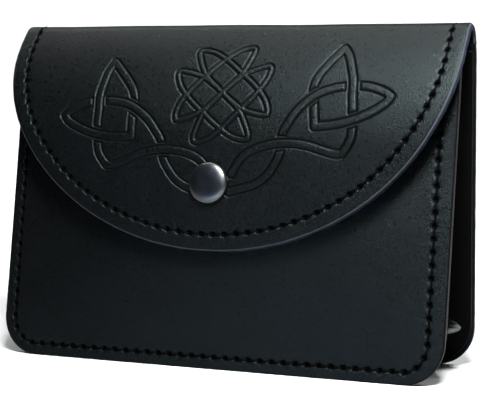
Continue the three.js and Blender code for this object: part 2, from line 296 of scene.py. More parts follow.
# The front panel and the belt loop, laid out by x and height
def front_face(x, z):
    lean = FRONT_DEPTH_AT_BASE + (FRONT_DEPTH_AT_TOP - FRONT_DEPTH_AT_BASE) * z / FRONT_TOP
    swell = np.maximum(0, 1 - (x / FRONT_HALF) ** 2) * np.sin(math.pi * np.clip(z / FRONT_TOP, 0, 1))
    return BACK_Y - lean - FRONT_BULGE * swell


def front_place(x, z, depth):
    return np.stack([x, front_face(x, z) + depth, z + 0 * x], -1)


def front_half(z, inset):
    return panel_half(FRONT_HALF, z, inset)


def loop_place(x, z, depth):
    rise = smoothstep(0, LOOP_RISE, z - LOOP_BASE - LOOP_TAB)
    fall = smoothstep(0, LOOP_RISE, LOOP_TOP - LOOP_TAB - z)
    return np.stack([x, BACK_Y + GAP + HIDE + LOOP_GAP * rise * fall - depth, z + 0 * x], -1)


def loop_half(z, inset):
    return np.full_like(np.asarray(z, float), LOOP_HALF - inset)


# Meshes
def make_object(name, points, faces, materials, face_materials=None):
    mesh = bpy.data.meshes.new(name)
    mesh.from_pydata((np.asarray(points) * MM).tolist(), [], faces)
    for material in materials:
        mesh.materials.append(material)
    if face_materials is not None:
        mesh.polygons.foreach_set("material_index", face_materials)
    mesh.polygons.foreach_set("use_smooth", [True] * len(mesh.polygons))
    shell = bmesh.new()
    shell.from_mesh(mesh)
    bmesh.ops.recalc_face_normals(shell, faces=shell.faces)
    shell.to_mesh(mesh)
    shell.free()
    made = bpy.data.objects.new(name, mesh)
    bpy.context.scene.collection.objects.link(made)
    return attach(made, "root")


def add_attribute(made, name, values):
    """One value for each point of a mesh, for its material to read."""
    made.data.attributes.new(name, "FLOAT", "POINT").data.foreach_set("value", values)


def edge_profile(thickness):
    """Steps round a cut edge as pairs of outward and depth, from the grain face to the flesh face."""
    turn = [(EDGE_ROUND * math.sin(a), EDGE_ROUND * (1 - math.cos(a))) for a in EDGE_ANGLES]
    under = [(out, thickness - depth) for out, depth in reversed(turn)]
    return [*turn, (EDGE_ROUND, thickness / 2), *under]


def grain_grid(rows, columns, half_width, detail):
    """A sheet's grain face laid out flat, its cells split where detail() is true: x and v of its points,
    their numbers on a grid as fine as the split cells, and its faces."""
    across = np.linspace(-1, 1, columns + 1)
    row_count = len(rows) - 1
    between_rows = (rows[:-1] + rows[1:]) / 2
    cell_x = (across[:-1] + across[1:]) / 2 * half_width(between_rows, EDGE_ROUND)[:, None]
    cell_v = np.broadcast_to(between_rows[:, None], cell_x.shape)
    fine = np.zeros(cell_x.shape, bool)
    fine[1:-1, 1:-1] = detail(cell_x.ravel(), cell_v.ravel()).reshape(cell_x.shape)[1:-1, 1:-1]
    needed = np.zeros((row_count * SPLIT + 1, columns * SPLIT + 1), bool)
    needed[::SPLIT, ::SPLIT] = True
    for r, c in zip(*np.nonzero(fine)):
        needed[r * SPLIT:(r + 1) * SPLIT + 1, c * SPLIT:(c + 1) * SPLIT + 1] = True
    number = np.full(needed.shape, -1)
    number[needed] = np.arange(needed.sum())
    at_row, at_column = np.nonzero(needed)
    v = np.interp(at_row / SPLIT, np.arange(row_count + 1), rows)
    x = np.interp(at_column / SPLIT, np.arange(columns + 1), across) * half_width(v, EDGE_ROUND)
    faces = []
    for r in range(row_count):
        for c in range(columns):
            r0, r1, c0, c1 = r * SPLIT, (r + 1) * SPLIT, c * SPLIT, (c + 1) * SPLIT
            if fine[r, c]:
                block = number[r0:r1 + 1, c0:c1 + 1]
                quads = np.stack([block[:-1, :-1], block[:-1, 1:], block[1:, 1:], block[1:, :-1]], -1)
                faces += quads.reshape(-1, 4).tolist()
            else:
                ring = [number[r0, c0:c1], number[r0:r1, c1], number[r1, c1:c0:-1], number[r1:r0:-1, c0]]
                faces.append([int(n) for n in np.concatenate(ring) if n >= 0])
    return x, v, number, faces


def flesh_grid(rows, columns, half_width, first):
    """A sheet's flesh face laid out flat, with fewer columns inside its ends: x and v of its points, their
    numbers from first on, and its faces."""
    x = np.linspace(-1, 1, columns + 1) * half_width(rows, EDGE_ROUND)[:, None]
    kept = np.zeros(x.shape, bool)
    kept[[0, -1]] = True
    kept[:, ::FLESH_STEP] = True
    number = np.full(x.shape, -1)
    number[kept] = first + np.arange(kept.sum())
    faces = []
    for r in range(len(rows) - 1):
        for c in range(0, columns, FLESH_STEP):
            block = number[r:r + 2, c:c + FLESH_STEP + 1]
            faces.append([int(n) for n in np.concatenate([block[0], block[1, ::-1]]) if n >= 0])
    return x[kept], rows[np.nonzero(kept)[0]], number, faces


def edge_walk(rows, columns, half_width):
    """Once round a sheet's edge: row and column of each point, its x and v, and the way outwards there."""
    last = len(rows) - 1
    rim = [(0, c) for c in range(columns)] + [(r, columns) for r in range(last)]
    rim += [(last, c) for c in range(columns, 0, -1)] + [(r, 0) for r in range(last, 0, -1)]
    rim_r, rim_c = np.array(rim).T
    x = np.linspace(-1, 1, columns + 1)[rim_c] * half_width(rows, EDGE_ROUND)[rim_r]
    line = np.stack([x, rows[rim_r]], -1)
    travel = np.roll(line, -1, 0) - np.roll(line, 1, 0)
    travel /= np.linalg.norm(travel, axis=1)[:, None]
    return rim_r, rim_c, line, np.stack([travel[:, 1], -travel[:, 0]], -1)


def leather_sheet(name, rows, columns, half_width, place, relief, detail, raw_from=math.inf):
    """A cut of leather as one closed mesh: a grain face that takes its lift and its pressed depth from
    relief(), a flesh face, and between them a rounded cut edge, raw past raw_from."""
    x, v, grain, faces = grain_grid(rows, columns, half_width, detail)
    lift, depth = relief(x, v)
    points = [place(x, v, depth - lift)]
    face_looks = [GRAIN_LOOK] * len(faces)
    flesh_x, flesh_v, flesh, flesh_faces = flesh_grid(rows, columns, half_width, len(x))
    points.append(place(flesh_x, flesh_v, np.full(len(flesh_x), HIDE)))
    faces += flesh_faces
    face_looks += [FLESH_LOOK] * len(flesh_faces)

    rim_r, rim_c, line, outward = edge_walk(rows, columns, half_width)
    walk = np.cumsum(np.linalg.norm(line - np.roll(line, 1, 0), axis=1))
    waves = (np.sin(walk * rate + start) for rate, start in FRAY_WAVES)
    fray = 1 - EDGE_FRAY * sum(waves, len(FRAY_WAVES))
    slant = RAW_SLANT + RAW_TATTER * np.random.default_rng(len(rows)).random(len(line))
    raw = line[:, 1] >= raw_from
    rings = [grain[rim_r * SPLIT, rim_c * SPLIT]]
    total = len(x) + len(flesh_x)
    for out, down in edge_profile(HIDE):
        spot = line + outward * (out * fray + raw * slant * down / HIDE)[:, None]
        points.append(place(spot[:, 0], spot[:, 1], np.full(len(spot), down)))
        rings.append(total + np.arange(len(spot)))
        total += len(spot)
    rings.append(flesh[rim_r, rim_c])
    middle_strip = len(rings) // 2
    for strip, (a, b) in enumerate(zip(rings, rings[1:])):
        quads = np.stack([a, np.roll(a, -1), np.roll(b, -1), b], -1)
        faces += quads.tolist()
        # on a raw edge the strips near its two corners are paler: frayed fibres and a painted highlight along
        # the corners
        raw_look = FRAYED_HIGHLIGHT_LOOK
        if strip == 0:
            raw_look = GRAIN_LOOK
        elif abs(strip - middle_strip) < 2:
            raw_look = RAW_LOOK
        face_looks += np.where(raw, raw_look, BURNISHED_LOOK).tolist()
    looks = [GRAIN, BURNISHED_EDGE, FLESH, RAW_EDGE, FRAYED_HIGHLIGHT_EDGE]
    made = make_object(name, np.vstack(points), faces, looks, face_looks)
    # the grain's pressed places are marked by their depth, so that its material paints shade into them
    painted_light = np.zeros(total)
    painted_light[:len(x)] = smoothstep(*GROOVE_SHADE_RANGE, depth)
    add_attribute(made, "painted_light", painted_light)
    return made


def stitches(name, path, place, face_depth, facing, material):
    """Threads that dip from hole to hole along a path. facing is 1 on a grain face and -1 on its far side."""
    count = round(path_length(path) / STITCH_PITCH)
    walk = np.concatenate([[0], np.cumsum(np.hypot(*np.diff(path, axis=0).T))])
    pitch = walk[-1] / count
    share = np.linspace(0, 1, STITCH_RINGS)
    slant = STITCH_SLANT * (2 * share - 1)
    rise = -STITCH_DIP + STITCH_RISE * np.sin(math.pi * share) ** STITCH_FULLNESS
    sides = np.linspace(0, 2 * math.pi, THREAD_SIDES + 1)[:-1]
    points, faces = [], []
    for k in range(count):
        along = (k + (1 - STITCH_SHARE) / 2 + STITCH_SHARE * share) * pitch
        x, v = np.interp(along, walk, path[:, 0]), np.interp(along, walk, path[:, 1])
        way = np.array([x[-1] - x[0], v[-1] - v[0]])
        way /= np.linalg.norm(way)
        x, v = x - way[1] * slant, v + way[0] * slant
        centre = place(x, v, face_depth - facing * rise)
        up = facing * (place(x, v, np.zeros(STITCH_RINGS)) - place(x, v, np.ones(STITCH_RINGS)))
        travel = np.gradient(centre, axis=0)
        travel /= np.linalg.norm(travel, axis=1)[:, None]
        side = np.cross(travel, up)
        side /= np.linalg.norm(side, axis=1)[:, None]
        top = np.cross(side, travel)
        thick = THREAD_RADIUS * (THREAD_END + (1 - THREAD_END) * np.sin(math.pi * share))
        ring = (np.cos(sides)[:, None, None] * top + np.sin(sides)[:, None, None] * side) * thick[:, None]
        first = len(points) * ring.shape[0] * ring.shape[1]
        points.append((centre + ring).reshape(-1, 3))
        index = first + np.arange(ring.shape[0] * ring.shape[1]).reshape(ring.shape[:2])
        next_side = np.roll(index, -1, 0)
        quads = np.stack([index[:, :-1], next_side[:, :-1], next_side[:, 1:], index[:, 1:]], -1)
        faces += quads.reshape(-1, 4).tolist()
        faces += [index[:, 0].tolist(), index[::-1, -1].tolist()]
    return make_object(name, np.vstack(points), faces, [material])


def seam_relief(x, v, path):
    """Lift and depth along a seam: a shallow groove with a slanted, lipped awl hole at each stitch's end."""
    pitch = path_length(path) / round(path_length(path) / STITCH_PITCH)
    distance, along, side = distance_to_path(x, v, path)
    ahead = along - np.round(along / pitch) * pitch
    aside = side * distance
    long_way = aside * math.cos(HOLE_SLANT) + ahead * math.sin(HOLE_SLANT)
    short_way = ahead * math.cos(HOLE_SLANT) - aside * math.sin(HOLE_SLANT)
    lip = np.exp(-(((np.abs(long_way) - HOLE_LONG) / LIP_LONG) ** 2) - (short_way / LIP_SHORT) ** 2)
    hole = np.exp(-((np.abs(long_way) / HOLE_LONG + np.abs(short_way) / HOLE_SHORT) ** 2))
    groove = np.exp(-((distance / GROOVE_WIDTH) ** 2))
    return LIP_LIFT * lip, GROOVE_DEPTH * groove + HOLE_DEPTH * hole


# Materials
LEATHER_SPECULAR = 0.06
LEATHER_TINT = (0.8, 1, 1, 1)  # of its gloss
# roughness where shade and highlight are painted into the leather
PAINTED_LIGHT_ROUGHNESS = (0.8, 0.8, 0.8)


def new_material(name, colour, roughness, metallic=0.0):
    material = bpy.data.materials.new(name)
    material.use_nodes = True
    shader = material.node_tree.nodes["Principled BSDF"]
    shader.inputs["Base Color"].default_value = (*colour, 1)
    shader.inputs["Roughness"].default_value = roughness
    shader.inputs["Metallic"].default_value = metallic
    return material, material.node_tree, shader


def texture(tree, kind, **sockets):
    """A texture node read in object space, with these values on its sockets."""
    node = tree.nodes.new(kind)
    where = tree.nodes.get("where") or tree.nodes.new("ShaderNodeTexCoord")
    where.name = "where"
    tree.links.new(where.outputs["Object"], node.inputs["Vector"])
    for socket, value in sockets.items():
        node.inputs[socket].default_value = value
    return node


def ramp(tree, source, stops):
    node = tree.nodes.new("ShaderNodeValToRGB")
    while len(node.color_ramp.elements) < len(stops):
        node.color_ramp.elements.new(0.5)
    for element, (place, colour) in zip(node.color_ramp.elements, stops):
        element.position = place
        element.color = (*colour, 1) if len(colour) == 3 else (colour[0], colour[0], colour[0], 1)
    tree.links.new(source, node.inputs["Fac"])
    return node


def bump(tree, source, strength, distance, below=None):
    node = tree.nodes.new("ShaderNodeBump")
    node.inputs["Strength"].default_value = strength
    node.inputs["Distance"].default_value = distance
    tree.links.new(source, node.inputs["Height"])
    if below is not None:
        tree.links.new(below.outputs["Normal"], node.inputs["Normal"])
    return node


def leather(name, dark, light, rough, specular, painted_light_colour):
    """Smooth-grain leather: pebbled grain, fine pores, clouded colour and uneven polish. Where its point
    attribute is 1 the polish is gone, and colour and gloss fade to the given colour: painted shade on pressed
    grain, a painted highlight on the gusset's crease."""
    material, tree, shader = new_material(name, light, rough)
    cloud = texture(tree, "ShaderNodeTexNoise", Scale=55, Detail=4, Roughness=0.6)
    tone = ramp(tree, cloud.outputs["Fac"], ((0.3, dark), (0.72, light)))
    polish = texture(tree, "ShaderNodeTexNoise", Scale=900, Detail=3, Roughness=0.7)
    shine = ramp(tree, polish.outputs["Fac"], ((0.3, (rough - 0.09,)), (0.7, (rough + 0.1,))))
    painted_light = tree.nodes.new("ShaderNodeAttribute")
    painted_light.attribute_name = "painted_light"
    tree.links.new(painted_light.outputs["Fac"], shader.inputs["Metallic"])
    for source, changed, socket in ((tone, painted_light_colour, "Base Color"), (shine, PAINTED_LIGHT_ROUGHNESS, "Roughness")):
        mix = tree.nodes.new("ShaderNodeMix")
        mix.data_type = "RGBA"
        mix.inputs["B"].default_value = (*changed, 1)
        tree.links.new(painted_light.outputs["Fac"], mix.inputs["Factor"])
        tree.links.new(source.outputs["Color"], mix.inputs["A"])
        tree.links.new(mix.outputs["Result"], shader.inputs[socket])
    shader.inputs["Specular IOR Level"].default_value = specular
    shader.inputs["Specular Tint"].default_value = LEATHER_TINT
    grain = texture(tree, "ShaderNodeTexVoronoi", Scale=1900, Randomness=1)
    pores = texture(tree, "ShaderNodeTexNoise", Scale=3400, Detail=2, Roughness=0.6)
    first = bump(tree, grain.outputs["Distance"], 0.5, 0.00019)
    both = bump(tree, pores.outputs["Fac"], 0.7, 0.00016, first)
    tree.links.new(both.outputs["Normal"], shader.inputs["Normal"])
    return material


def fibrous(name, dark, light, rough, specular, scale):
    """Cut or flesh side of leather: matt and fibrous."""
    material, tree, shader = new_material(name, light, rough)
    fibre = texture(tree, "ShaderNodeTexNoise", Scale=scale, Detail=5, Roughness=0.75)
    tone = ramp(tree, fibre.outputs["Fac"], ((0.35, dark), (0.68, light)))
    tree.links.new(tone.outputs["Color"], shader.inputs["Base Color"])
    shader.inputs["Specular IOR Level"].default_value = specular
    nap = bump(tree, fibre.outputs["Fac"], 0.5, 0.0003)
    tree.links.new(nap.outputs["Normal"], shader.inputs["Normal"])
    return material


def thread_material():
    """Black waxed thread."""
    dark, light = (0.0002, 0.0002, 0.0003), (0.0006, 0.0006, 0.0007)
    material, tree, shader = new_material("waxed_thread", light, 0.5)
    shader.inputs["Specular IOR Level"].default_value = 0.01
    twist = texture(tree, "ShaderNodeTexNoise", Scale=3200, Detail=2)
    tone = ramp(tree, twist.outputs["Fac"], ((0.3, dark), (0.7, light)))
    tree.links.new(tone.outputs["Color"], shader.inputs["Base Color"])
    ply = bump(tree, twist.outputs["Fac"], 0.5, 0.0002)
    tree.links.new(ply.outputs["Normal"], shader.inputs["Normal"])
    return material


def plated_metal():
    """Dark nickel plate, rubbed brighter at the rim, where the brighter plate also stands in for a highlight.
    """
    material, tree, shader = new_material("dark_nickel", (0.02, 0.022, 0.026), 0.28, metallic=1.0)
    wear = texture(tree, "ShaderNodeTexNoise", Scale=260, Detail=5, Roughness=0.65)
    tone = ramp(tree, wear.outputs["Fac"], ((0.3, (0.021, 0.024, 0.031)), (0.7, (0.027, 0.03, 0.037))))
    rim = tree.nodes.new("ShaderNodeAttribute")
    rim.attribute_name = "rim"
    mix = tree.nodes.new("ShaderNodeMix")
    mix.data_type = "RGBA"
    # brighter plate at the rim: rubbed wear and a painted highlight
    mix.inputs["B"].default_value = (0.066, 0.064, 0.062, 1)
    tree.links.new(rim.outputs["Fac"], mix.inputs["Factor"])
    tree.links.new(tone.outputs["Color"], mix.inputs["A"])
    tree.links.new(mix.outputs["Result"], shader.inputs["Base Color"])
    haze = ramp(tree, wear.outputs["Fac"], ((0.3, (0.29,)), (0.75, (0.35,))))
    tree.links.new(haze.outputs["Color"], shader.inputs["Roughness"])
    return material


# its colour for pressed places is near black and without gloss: painted shade in its lines, grooves and holes
GRAIN = leather("black_grain", (0.0003, 0.00033, 0.0004), (0.0006, 0.00066, 0.0008), 0.32, LEATHER_SPECULAR,
                painted_light_colour=(0.0006, 0.0006, 0.0007))
# its pale colour for the pucker's crest is a painted highlight
GUSSET_GRAIN = leather("gusset_grain", (0.0003, 0.0003, 0.0003), (0.0006, 0.0005, 0.0005), 0.6, 0.008,
                       painted_light_colour=(0.06, 0.06, 0.063))
RAW_EDGE = fibrous("raw_edge", (0.003, 0.0042, 0.0075), (0.011, 0.0142, 0.023), 0.75, 0.03, 1500)
# paler than the raw edge: frayed fibres and a painted highlight along the edge's corners
FRAYED_HIGHLIGHT_EDGE = fibrous("frayed_highlight_edge", (0.0055, 0.0063, 0.008), (0.025, 0.0275, 0.033), 0.75, 0.08, 2600)
BURNISHED_EDGE = fibrous("burnished_edge", (0.0004, 0.0004, 0.0005), (0.001, 0.001, 0.0012), 0.45, 0.03, 1500)
FLESH = fibrous("flesh_side", (0.0012, 0.0016, 0.003), (0.0028, 0.0037, 0.007), 0.9, 0.02, 900)
THREAD = thread_material()
NICKEL = plated_metal()


# Pressed knotwork on the flap
class Band:
    """One stretch of a knotwork strand, as a path on the hide."""

    def __init__(self, name, points, half):
        self.name = name
        self.half = half
        a, b = smooth_path(points).T
        x = KNOT_X + a * math.cos(KNOT_TILT) - b * math.sin(KNOT_LEAN)
        up = KNOT_FROM_TIP + a * math.sin(KNOT_TILT) + b * math.cos(KNOT_LEAN)
        self.path = np.stack([x, HIDE_LENGTH - up], -1)


def knotwork():
    """The bands, and the pairs of their names where the first passes over the second."""
    bands, over = [], set()
    legs = {
        "rising": RISING,
        "returning": RETURNING,
        "climbing": CLIMBING,
        "falling": FALLING,
        "waving": WAVING,
    }
    crossings = (
        ("waving", "rising"),
        ("rising", "climbing"),
        ("falling", "rising"),
        ("returning", "falling"),
    )
    for side in (-1, 1):
        for name, points in legs.items():
            bands.append(Band(f"{name}{side}", [(side * a, b) for a, b in points], SIDE_BAND_HALF))
        over |= {(f"{first}{side}", f"{second}{side}") for first, second in crossings}
    along = np.array([math.cos(MIDDLE_ANGLE), math.sin(MIDDLE_ANGLE)])
    cross = np.array([-along[1], along[0]])
    for slope in (-1, 1):
        for side in (-1, 1):
            turned = [e * along + side * q * cross for e, q in LOOP]
            points = [(slope * a * MIDDLE_NARROW, b) for a, b in turned]
            bands.append(Band(f"loop{slope}_{side}", points, MIDDLE_BAND_HALF))
    return bands, over


BANDS, OVER = knotwork()


def band_edge(x, v):
    """Signed distance from the outline of all bands, less than nought inside them."""
    distances = {band.name: distance_to_path(x, v, band.path)[0] for band in BANDS}
    half = {band.name: band.half for band in BANDS}
    edge = np.full(len(x), float(SEARCH_REACH))
    for name, distance in distances.items():
        own = distance - half[name]
        for upper, lower in OVER:
            if lower == name:
                own = np.maximum(own, half[upper] + UNDER_GAP - distances[upper])
        edge = np.minimum(edge, own)
    return edge


def knot_relief(x, v):
    """Lift of the bands' crowned faces, and depth of the lines pressed round them."""
    edge = band_edge(x, v)
    crown = 1 - (1 + np.clip(edge / SIDE_BAND_HALF, -1, 0)) ** 2
    return BAND_CROWN * crown, LINE_DEPTH * np.exp(-((edge / LINE_WIDTH) ** 2))


# Seam paths
def arc(centre, radius, start, end, count=24):
    angle = np.radians(np.linspace(start, end, count))
    return np.stack([centre[0] + radius * np.cos(angle), centre[1] + radius * np.sin(angle)], -1)


def straight(start, end, step=1.0):
    count = max(2, int(math.dist(start, end) / step))
    return np.linspace(start, end, count)


def panel_seam(half, top, left=SEAM_INSET, low=SEAM_INSET):
    """A seam down a panel's left side, round its bottom and up its right side. left and low are its insets
    from the left edge and the bottom edge."""
    inner = half - CORNER_RADIUS
    sides = []
    for inset, sign in ((left, -1), (SEAM_INSET, 1)):
        radii = np.array([CORNER_RADIUS - inset, CORNER_RADIUS - low])
        side = np.vstack([
            straight((0, low), (inner, low))[:-1],
            arc((0, 0), 1, -90, 0) * radii + (inner, CORNER_RADIUS),
            straight((half - inset, CORNER_RADIUS), (half - inset, top))[1:],
        ])
        sides.append(side * (sign, 1))
    return np.vstack([sides[0][:0:-1], sides[1]])


def flap_seam():
    """A seam from the gusset's top over the fold, round the flap and back on the other side."""
    edge = BACK_HALF - SEAM_INSET
    curve_start = HIDE_LENGTH - FLAP_CURVE
    angle = np.linspace(0, math.pi / 2, 120)
    curve = np.stack([edge * np.cos(angle), curve_start + (FLAP_CURVE - SEAM_INSET) * np.sin(angle)], -1)
    right = np.vstack([straight((edge, GUSSET_TOP), (edge, curve_start))[:-1], curve])
    return np.vstack([right, (right * (-1, 1))[-2::-1]])


FLAP_SEAM = flap_seam()
BACK_SEAM = panel_seam(BACK_HALF, GUSSET_TOP - STITCH_PITCH)
FRONT_SEAM = panel_seam(FRONT_HALF, FRONT_TOP - FRONT_SEAM_DROP, FRONT_SEAM_LOW, FRONT_SEAM_LOW)


# The hide
def hide_relief(x, v):
    """Slow swells and ripples of the leather, with the knotwork and the seams."""
    swell = HIDE_SWELL * np.sin(x / 17 + 0.6 * np.sin(v / 23)) * np.sin(v / 14 + 1)
    ripple = RIPPLE * np.sin(x / 7.3 + v / 9.1)
    parts = [knot_relief(x, v), seam_relief(x, v, FLAP_SEAM), seam_relief(x, v, BACK_SEAM)]
    return swell + ripple + sum(lift for lift, depth in parts), sum(depth for lift, depth in parts)


def hide_detail(x, v):
    fine = np.abs(band_edge(x, v)) < COARSE
    fine |= distance_to_path(x, v, FLAP_SEAM)[0] < COARSE + FLAP_SEAM_MARGIN
    return fine | (distance_to_path(x, v, BACK_SEAM)[0] < COARSE)


def corner_rows():
    """Rows of a panel up to the top of its rounded bottom corners."""
    angles = np.radians(np.linspace(0, 90, CORNER_ROW_COUNT))
    return EDGE_ROUND + (CORNER_RADIUS - EDGE_ROUND) * (1 - np.cos(angles))


def hide_rows():
    """Rows up the back, over the fold and down the flap, closer together at its tip."""
    back = np.linspace(CORNER_RADIUS, BACK_STRAIGHT, BACK_ROW_COUNT)[1:]
    fold = np.linspace(BACK_STRAIGHT, FOLD_END, FOLD_ROW_COUNT)[1:]
    curve_start = HIDE_LENGTH - FLAP_CURVE
    flap = np.arange(FOLD_END + COARSE, HIDE_LENGTH - TIP_LENGTH, COARSE)
    tip_angle = np.arccos(np.linspace(TIP_START, FLAP_TIP_HALF / BACK_HALF, TIP_ROW_COUNT))
    tip = curve_start + (FLAP_CURVE - EDGE_ROUND) * np.sin(tip_angle)
    return np.concatenate([corner_rows(), back, fold, flap, tip[tip > flap[-1] + TIP_ROW_GAP]])


hide = leather_sheet(
    "hide", hide_rows(), HIDE_COLUMNS, hide_half, hide_place, hide_relief, hide_detail, RAW_FROM
)
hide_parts("back_and_flap")


# The front panel
def front_relief(x, z):
    """Slow swells and ripples of the leather, with the seam."""
    swell = FRONT_SWELL * np.sin(x / 19 + 2) * np.sin(z / 16)
    ripple = RIPPLE * np.sin(x / 8.1 - z / 6.7)
    lift, depth = seam_relief(x, z, FRONT_SEAM)
    return swell + ripple + lift, depth


def front_detail(x, z):
    return distance_to_path(x, z, FRONT_SEAM)[0] < COARSE + FRONT_SEAM_MARGIN


def front_rows():
    above = np.linspace(CORNER_RADIUS, FRONT_TOP - EDGE_ROUND, FRONT_ROW_COUNT)[1:]
    return np.concatenate([corner_rows(), above])


front = leather_sheet(
    "front", front_rows(), FRONT_COLUMNS, front_half, front_place, front_relief, front_detail
)
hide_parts("front_panel")


# The belt loop
def loop_seams():
    """A box of stitches at each end of the loop."""
    edge = LOOP_HALF - LOOP_SEAM_INSET
    base = LOOP_BASE + LOOP_SEAM_NEAR, LOOP_BASE + LOOP_SEAM_FAR
    top = LOOP_TOP - LOOP_SEAM_FAR, LOOP_TOP - LOOP_SEAM_NEAR
    ends = []
    for low, high in (base, top):
        corners = [(-edge, low), (edge, low), (edge, high), (-edge, high), (-edge, low)]
        ends.append(np.vstack([straight(a, b)[:-1] for a, b in zip(corners, corners[1:])] + [corners[:1]]))
    return ends


LOOP_SEAMS = loop_seams()


def loop_relief(x, z):
    parts = [seam_relief(x, z, seam) for seam in LOOP_SEAMS]
    return sum(lift for lift, depth in parts), sum(depth for lift, depth in parts)


def loop_detail(x, z):
    nearest = np.min([distance_to_path(x, z, seam)[0] for seam in LOOP_SEAMS], 0)
    return nearest < COARSE + LOOP_SEAM_MARGIN


def loop_rows():
    return np.linspace(LOOP_BASE + EDGE_ROUND, LOOP_TOP - EDGE_ROUND, LOOP_ROW_COUNT)


belt_loop = leather_sheet(
    "belt_loop_strip", loop_rows(), LOOP_COLUMNS, loop_half, loop_place, loop_relief, loop_detail
)
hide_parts("belt_loop")


# The gusset
def gusset_line():
    """Stations down the left edge, round the bottom and up the right edge: x, z, normal and drop in front."""
    centre = BACK_HALF - GUSSET_CORNER
    right = np.vstack([
        straight((0, 0), (centre, 0), BOTTOM_STEP)[:-1],
        arc((centre, GUSSET_CORNER), GUSSET_CORNER, -90, 0, CORNER_STATIONS),
        straight((BACK_HALF, GUSSET_CORNER), (BACK_HALF, GUSSET_TOP), SIDE_STEP)[1:],
    ])
    line = np.vstack([(right * (-1, 1))[:0:-1], right])
    travel = np.gradient(line, axis=0)
    travel /= np.linalg.norm(travel, axis=1)[:, None]
    normal = np.stack([travel[:, 1], -travel[:, 0]], -1)
    drop = GUSSET_TOP_DROP * np.clip((line[:, 1] - GUSSET_CORNER) / (GUSSET_TOP - GUSSET_CORNER), 0, 1)
    return line, normal, drop


def gusset_section():
    """Half of the channel from a flange's edge to the web: inset, rise off the panel, outward direction."""
    half = GUSSET_HIDE / 2
    flange = [(inset, half, 0.0, 1.0) for inset in np.linspace(GUSSET_SETBACK, FLANGE, FLANGE_POINTS)]
    angles = np.radians(np.linspace(0, 90, BEND_POINTS + 1))[1:]
    turn = []
    for a in angles:
        turn.append((FLANGE + BEND * math.sin(a), half + BEND * (1 - math.cos(a)), -math.sin(a), math.cos(a)))
    return np.array(flange + turn)


def make_gusset():
    """The channel: for both faces, flange, bend, web, bend and flange at each station along its line."""
    line, normal, drop = gusset_line()
    half = gusset_section()
    back_face = BACK_Y - HIDE - 2 * GAP
    web_share = np.linspace(0, 1, WEB_POINTS + 2)[1:-1]
    pucker_height = PUCKER_HEIGHT + PUCKER_SLANT * (web_share - 0.5)
    pucker = np.exp(-(((line[:, 1:] - pucker_height) / PUCKER_SPREAD) ** 2))
    faces_out = []
    for lift in (GUSSET_HIDE / 2, -GUSSET_HIDE / 2):
        grid = []
        for (x, z), (nx, nz), fall, crease in zip(line, normal, drop, pucker):
            front_x = x * FRONT_HALF / BACK_HALF

            def front_at(inset):
                return front_face(front_x - nx * inset, np.maximum(0, z - nz * inset - fall)) + HIDE + GAP

            def spot(inset, y):
                forward = np.clip((back_face - y) / (back_face - front_at(0)), 0, 1)
                edge = x + (front_x - x) * forward
                return np.stack([edge - nx * inset, y, z - nz * inset - fall * forward], -1)

            inset, rise, out_in, out_up = half.T
            front_side = spot(inset + lift * out_in, front_at(inset) + rise + lift * out_up)
            back_side = spot(inset + lift * out_in, back_face - rise - lift * out_up)[::-1]
            web_front, web_back = front_at(inset[-1]) + rise[-1], back_face - rise[-1]
            bow = WEB_SAG * np.sin(math.pi * web_share)
            bow -= PUCKER_LIFT * crease * np.sin(math.pi * web_share**PUCKER_SKEW)
            web = spot(inset[-1] + bow - lift, web_front + (web_back - web_front) * web_share)
            grid.append(np.vstack([front_side, web, back_side]))
        faces_out.append(np.array(grid))
    outer, inner = faces_out
    rows, columns = outer.shape[:2]
    near = np.arange(rows * columns).reshape(rows, columns)
    far = near + rows * columns
    quads = []
    for g in (near, far[:, ::-1]):
        quads.append(np.stack([g[:-1, :-1], g[:-1, 1:], g[1:, 1:], g[1:, :-1]], -1).reshape(-1, 4))
    rim = np.concatenate([near[0, :-1], near[:-1, -1], near[-1, :0:-1], near[:0:-1, 0]])
    far_rim = rim + rows * columns
    quads.append(np.stack([rim, np.roll(rim, -1), np.roll(far_rim, -1), far_rim], -1))
    faces = np.vstack(quads).tolist()
    looks = [GUSSET_GRAIN, FLESH, BURNISHED_EDGE]
    face_looks = np.repeat(range(len(looks)), [len(part) for part in quads])
    points = np.vstack([outer.reshape(-1, 3), inner.reshape(-1, 3)])
    made = make_object("gusset_strip", points, faces, looks, face_looks)
    # the pucker's crest is marked to be drawn pale: a painted highlight
    painted_light = np.zeros((2, rows, columns))
    painted_light[0, :, len(half):len(half) + len(web_share)] = smoothstep(*CREASE_HIGHLIGHT_RANGE, pucker)
    add_attribute(made, "painted_light", painted_light.ravel())
    return made


gusset = make_gusset()
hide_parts("gusset")

